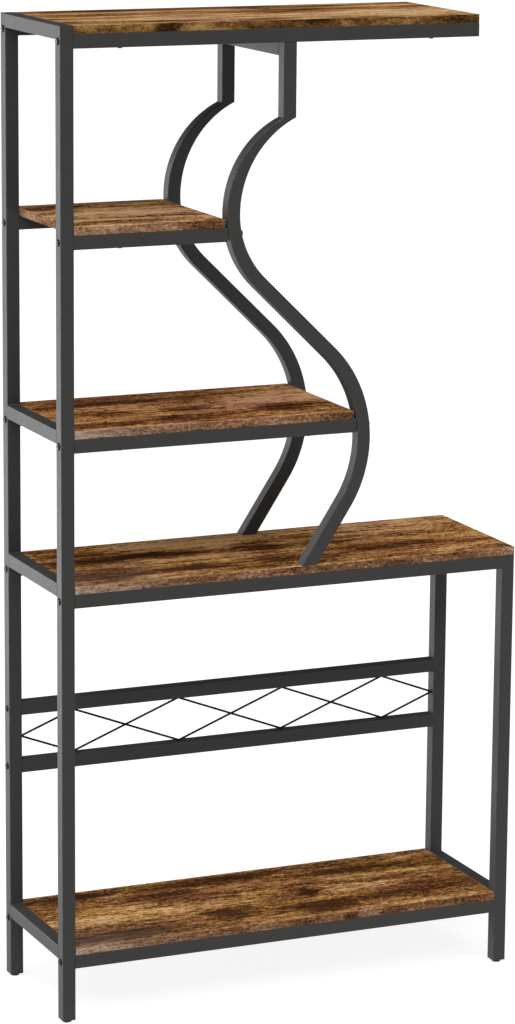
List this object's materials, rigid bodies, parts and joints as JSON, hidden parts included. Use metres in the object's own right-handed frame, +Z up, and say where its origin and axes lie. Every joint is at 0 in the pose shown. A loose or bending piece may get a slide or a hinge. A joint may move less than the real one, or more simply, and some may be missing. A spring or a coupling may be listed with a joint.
{
  "type": "tiered plant stand",
  "caption": "Tall free-standing plant stand: square-tube frame, rustic wood shelves of stepped widths, a pair of S-shaped tubes, wire lattice back and levelling feet.",
  "frame": {"origin": "on the floor, under the middle of the stand's width and depth, with the feet screwed in", "axes": "+X to the right seen from the front, +Y from the front to the lattice at the back, +Z up"},
  "size_m": [0.906, 0.3, 1.8],
  "materials": {
    "frame_coat": "dark charcoal powder coat, fine satin texture",
    "wire_coat": "dark charcoal powder coat on wire",
    "board_wood": "rustic brown board, dark grain and knots, satin",
    "bolt_black": "black oxide on bolts and screws",
    "plated_steel": "zinc-plated steel",
    "black_plastic": "black moulded plastic"
  },
  "bodies": {
    "frame": {"bottom_board": "board_wood", "bottom_board_screws": "bolt_black", "bottom_front_rail": "frame_coat", "bottom_rear_rail": "frame_coat", "fourth_board": "board_wood", "fourth_board_screws": "bolt_black", "fourth_front_rail": "frame_coat", "fourth_rear_rail": "frame_coat", "front_s_bar": "frame_coat", "front_s_stub": "frame_coat", "lattice_front_wire": "wire_coat", "lattice_lower_bar": "frame_coat", "lattice_rear_wire": "wire_coat", "lattice_upper_bar": "frame_coat", "left_bottom_side_rail": "frame_coat", "left_fourth_side_rail": "frame_coat", "left_front_post": "frame_coat", "left_post_bolts": "bolt_black", "left_rail_inserts": "plated_steel", "left_rear_post": "frame_coat", "left_third_side_rail": "frame_coat", "left_top_rail": "frame_coat", "leg_plugs": "black_plastic", "rear_s_bar": "frame_coat", "rear_s_stub": "frame_coat", "right_front_leg": "frame_coat", "right_leg_bolts": "bolt_black", "right_lower_side_rail": "frame_coat", "right_rail_inserts": "plated_steel", "right_rear_leg": "frame_coat", "right_upper_side_rail": "frame_coat", "s_bar_bolts": "bolt_black", "s_bar_rail_inserts": "plated_steel", "s_foot_bolts": "bolt_black", "s_frame_cross_bar": "frame_coat", "s_frame_inserts": "plated_steel", "s_stub_bolts": "bolt_black", "second_board": "board_wood", "second_board_screws": "bolt_black", "second_front_rail": "frame_coat", "second_rear_rail": "frame_coat", "third_board": "board_wood", "third_board_screws": "bolt_black", "third_front_rail": "frame_coat", "third_rear_rail": "frame_coat", "top_board": "board_wood", "top_board_screws": "bolt_black", "top_end_rail": "frame_coat", "top_front_rail": "frame_coat", "top_rear_rail": "frame_coat"},
    "left_front_foot": {"left_front_foot_pad": "black_plastic", "left_front_foot_stud": "plated_steel"},
    "left_rear_foot": {"left_rear_foot_pad": "black_plastic", "left_rear_foot_stud": "plated_steel"},
    "right_front_foot": {"right_front_foot_pad": "black_plastic", "right_front_foot_stud": "plated_steel"},
    "right_rear_foot": {"right_rear_foot_pad": "black_plastic", "right_rear_foot_stud": "plated_steel"}
  },
  "joints": [
    {"name": "left_front_foot_height", "type": "slide", "parent": "frame", "child": "left_front_foot", "axis": [0, 0, -1], "range_m": [0, 0.01]},
    {"name": "left_rear_foot_height", "type": "slide", "parent": "frame", "child": "left_rear_foot", "axis": [0, 0, -1], "range_m": [0, 0.01]},
    {"name": "right_front_foot_height", "type": "slide", "parent": "frame", "child": "right_front_foot", "axis": [0, 0, -1], "range_m": [0, 0.01]},
    {"name": "right_rear_foot_height", "type": "slide", "parent": "frame", "child": "right_rear_foot", "axis": [0, 0, -1], "range_m": [0, 0.01]}
  ]
}
